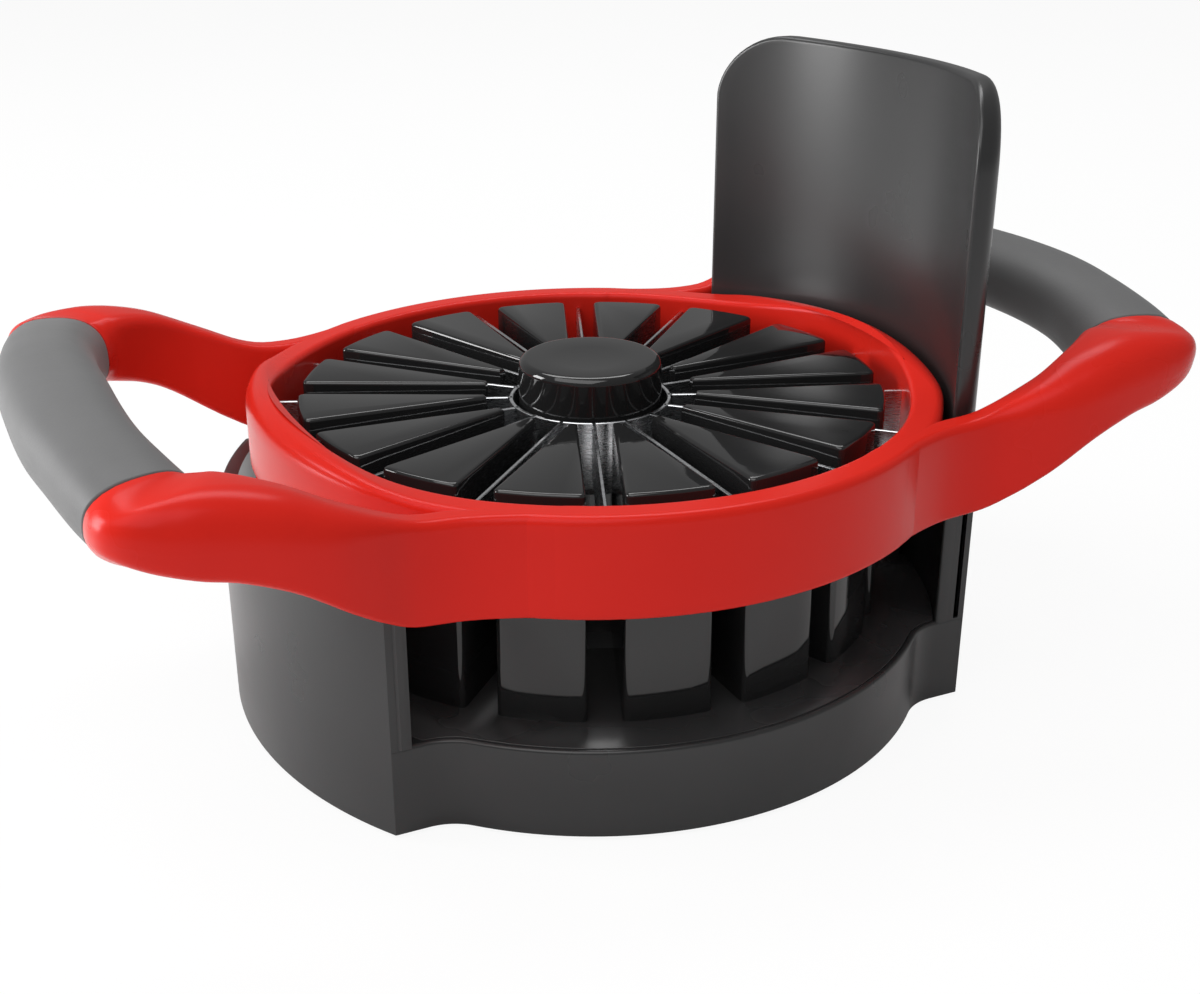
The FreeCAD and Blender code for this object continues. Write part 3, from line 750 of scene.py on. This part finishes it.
def ring_side(side):
    """Sections round one side of the ring, their ends just under its front and back."""
    first, step, count = 26, 2, 65
    sunk_out, sunk_in, sunk_z, middle_z = 0.9995, 1.0006, 0.002, 44
    low, top = height_line(ARM_LOW), height_line(ARM_TOP)
    loops = []
    for k in range(count):
        ox, oy, ix, iy, turned, ease = ring_station(first + step * k)
        row = [sunk_out * side * ox, sunk_out * oy, sunk_in * side * ix, sunk_in * iy, turned, ease]
        loops.append([p.lerp(Vector((p.x, p.y, middle_z)), sunk_z)
                      for p in frame_section(row, low, top)])
    return loops


def press_frame():
    """Ring and arms: front and back run from joint to joint, the sides between them."""
    right = arm_and_front()
    front = mirrored_loops(right[1:], "x")[::-1] + right
    bm = bmesh.new()
    for loops in (front, mirrored_loops(front, "y"), ring_side(1), ring_side(-1)):
        loft(bm, loops)
    obj = new_object("press_frame_dressed", bm, 50)
    return piece(obj, RED, "press", "frame_plastic", "press_frame")


def keeper():
    """Ring that closes the blade slots from below."""
    inner, outer, chamfer = 53.7, 56.6, 0.15
    profile = [(inner, RING_LOW + chamfer), (inner + chamfer, RING_LOW),
               (outer - chamfer, RING_LOW), (outer, RING_LOW + chamfer), (outer, BLADE_LOW),
               (inner, BLADE_LOW)]
    obj = new_object("blade_keeper_ring_dressed", lathe(profile, 160))
    return piece(obj, RED, "press", "keeper_plastic", "blade_keeper_ring")


# Right grip from an end to its middle: share of its half length, outer and inner
# x beyond the ring, underside and top over the ring's own faces.
GRIP_STATIONS = [
    (1.00, 30.8, 15.4, 14.6, 11.0), (0.85, 32.2, 17.1, 15.3, 12.2),
    (0.62, 33.8, 19.0, 16.4, 13.4), (0.35, 35.3, 19.8, 17.1, 14.3),
    (0.00, 35.65, 19.9, 17.4, 14.6),
]


def grip_row(row):
    """Outer x, y, inner x, y, underside and top of a station of the right grip."""
    share, outer, inner, low, high = row
    return [RING_R + outer, -share * (WALL_END_Y + ARM_STATIONS[-1][1]),
            RING_R + inner, -share * (WALL_END_Y + ARM_STATIONS[-1][3]),
            RING_LOW + low, RING_TOP + high]


def grip(side):
    """Soft grip with rounded square sections between its two joints."""
    stations = [grip_row(row) for row in GRIP_STATIONS]
    stations += [[ox, -oy, ix, -iy, low, top] for ox, oy, ix, iy, low, top in stations[-2::-1]]
    end_y = stations[0][1]
    loops = []
    count = 56
    for ox, oy, ix, iy, low, top in spline(stations, 8):
        middle = Vector(((ox + ix) / 2, (oy + iy) / 2, (low + top) / 2))
        across, rise = Vector(((ox - ix) / 2, (oy - iy) / 2, 0)), (top - low) / 2
        loop = []
        for k in range(count):
            c, s = cos(2 * pi * k / count), sin(2 * pi * k / count)
            reach = (abs(c)**GRIP_SQUARE + abs(s)**GRIP_SQUARE)**(-1 / GRIP_SQUARE)
            p = middle + across * c * reach + Vector((0, 0, rise * s * reach))
            p = leaned(p, abs(oy / end_y)**3, -1 if oy < 0 else 1)
            loop.append(Vector((side * p.x, p.y, p.z)))
        loops.append(loop)
    bm = bmesh.new()
    loft(bm, joint_end(joint_end(loops[::-1])[::-1]))
    name = "grip_right" if side > 0 else "grip_left"
    obj = new_object(name + "_dressed", bm, 60)
    return piece(obj, GRIP, "press", "grip_rubber", name)


# ---- feet and screws ---------------------------------------------------------
def spread(name, part, spots):
    """Plain mesh of one part set down at several spots."""
    bm = bmesh.new()
    for x, y in spots:
        copy = part.data.copy()
        copy.transform(Matrix.Translation((x * MM, y * MM, 0)))
        bm.from_mesh(copy)
        bpy.data.meshes.remove(copy)
    bpy.data.objects.remove(part)
    bm.transform(Matrix.Scale(1 / MM, 4))
    return new_object(name, bm)


def four(x, y):
    """The four corners of a rectangle about the axis."""
    return [(sx * x, sy * y) for sx in (1, -1) for sy in (1, -1)]


def feet():
    """Round rubber feet, set in from the corners of the walls' feet."""
    profile = [(0, 0.0), (3.6, 0.0), (4.2, 0.12), (4.5, 0.5), (4.5, 1.6), (0, 1.6)]
    inset_x, inset_y = 7.5, 8.0
    one = new_object("one_foot", lathe(profile, 48))
    corner_x = sqrt(FOOT_R**2 - WALL_END_Y**2) - WALL_CX
    obj = spread("feet_dressed", one, four(corner_x - inset_x, WALL_END_Y - inset_y))
    return piece(obj, PAD, "base", "foot_rubber", *["foot_%d" % k for k in range(1, 5)])


piece(shell(), CHARCOAL, "base", "shell_plastic", "base_shell")
piece(refined("pusher_deck", 0.25), DECK, "base", "deck_plastic", "pusher_deck")
pushers()
core_post()
blades()
coring_ring()
press_frame()
keeper()
grip(1)
grip(-1)
feet()
piece(refined("deck_screws", 0.15), SCREW, "base", "screw_steel", "deck_screws")


# ---- camera, light and floor -------------------------------------------------
def camera():
    """Pinhole camera, in pixels of its frame's width, degrees and millimetres."""
    width, focal, shift = 1200, 1607.13, 50.7
    azimuth, elevation, roll = (radians(a) for a in (-23.49, 23.02, -0.73))
    distance, aside, above = 290.16, -7.45, 27.77
    back = Vector((sin(azimuth) * cos(elevation), -cos(azimuth) * cos(elevation),
                   sin(elevation)))
    right = (-back).cross(Vector((0, 0, 1))).normalized()
    up = right.cross(-back)
    right, up = right * cos(roll) + up * sin(roll), up * cos(roll) - right * sin(roll)
    place = right * aside + up * above + back * distance + Vector((0, 0, STAND_OFF))
    data = bpy.data.cameras.new("camera")
    data.sensor_width = 36.0
    data.lens = focal / width * data.sensor_width
    data.shift_x = shift / width
    data.clip_start, data.clip_end = 0.01, 10
    obj = bpy.data.objects.new("camera", data)
    bpy.context.scene.collection.objects.link(obj)
    matrix = Matrix((right, up, back)).transposed().to_4x4()
    matrix.translation = place * MM
    obj.matrix_world = matrix
    bpy.context.scene.camera = obj


def lamp(name, place, aim, size, power):
    """White rectangular lamp, in metres and watts."""
    data = bpy.data.lights.new(name, "AREA")
    data.shape, data.size, data.size_y = "RECTANGLE", *size
    data.energy = power
    obj = bpy.data.objects.new(name, data)
    bpy.context.scene.collection.objects.link(obj)
    obj.location = place
    obj.rotation_euler = (Vector(aim) - Vector(place)).to_track_quat("-Z", "Y").to_euler()


def seen_white(tree, shader, output, share):
    """Mixes plain white into what the camera itself sees of the surroundings."""
    on_world = output.bl_idname == "ShaderNodeOutputWorld"
    white = tree.nodes.new("ShaderNodeBackground" if on_world else "ShaderNodeEmission")
    white.inputs["Color"].default_value = (1, 1, 1, 1)
    white.inputs["Strength"].default_value = 1.0
    path = tree.nodes.new("ShaderNodeLightPath")
    part = tree.nodes.new("ShaderNodeMath")
    part.operation = "MULTIPLY"
    part.inputs[1].default_value = share
    mix = tree.nodes.new("ShaderNodeMixShader")
    tree.links.new(path.outputs["Is Camera Ray"], part.inputs[0])
    tree.links.new(part.outputs[0], mix.inputs[0])
    tree.links.new(shader, mix.inputs[1])
    tree.links.new(white.outputs[0], mix.inputs[2])
    tree.links.new(mix.outputs[0], output.inputs["Surface"])


def studio():
    """Pale floor, even surroundings and three soft lamps."""
    mesh = bpy.data.meshes.new("floor")
    half = 3.0
    corners = [(-half, -half, 0), (half, -half, 0), (half, half, 0), (-half, half, 0)]
    mesh.from_pydata(corners, [], [(0, 1, 2, 3)])
    floor = bpy.data.objects.new("floor", mesh)
    bpy.context.scene.collection.objects.link(floor)
    m = Material("pale_floor").set(Roughness=0.85)
    m.feed("Base Color", m.ramp(m.noise(9, 2), (0.3, (0.86, 0.86, 0.86)),
                                (0.7, (0.88, 0.88, 0.88))))
    seen_white(m.tree, m.shader.outputs[0], m.tree.nodes["Material Output"], 0.92)
    mesh.materials.append(m.material)
    world = bpy.data.worlds.new("studio")
    world.use_nodes = True
    tree = world.node_tree
    ground = tree.nodes["Background"]
    ground.inputs["Color"].default_value = (1, 1, 1, 1)
    ground.inputs["Strength"].default_value = 0.3
    seen_white(tree, ground.outputs[0], tree.nodes["World Output"], 1.0)
    bpy.context.scene.world = world
    lamp("key", (-0.35, -0.25, 0.75), (0, 0, 0.05), (0.9, 0.7), 4.8)
    lamp("back", (0.1, 0.4, 0.85), (0, 0, 0.06), (0.8, 0.3), 3.8)
    lamp("side", (-0.8, 0.4, 0.22), (0, 0, 0.06), (0.3, 0.6), 7.5)


camera()
studio()
bpy.context.scene.view_settings.view_transform = "Standard"
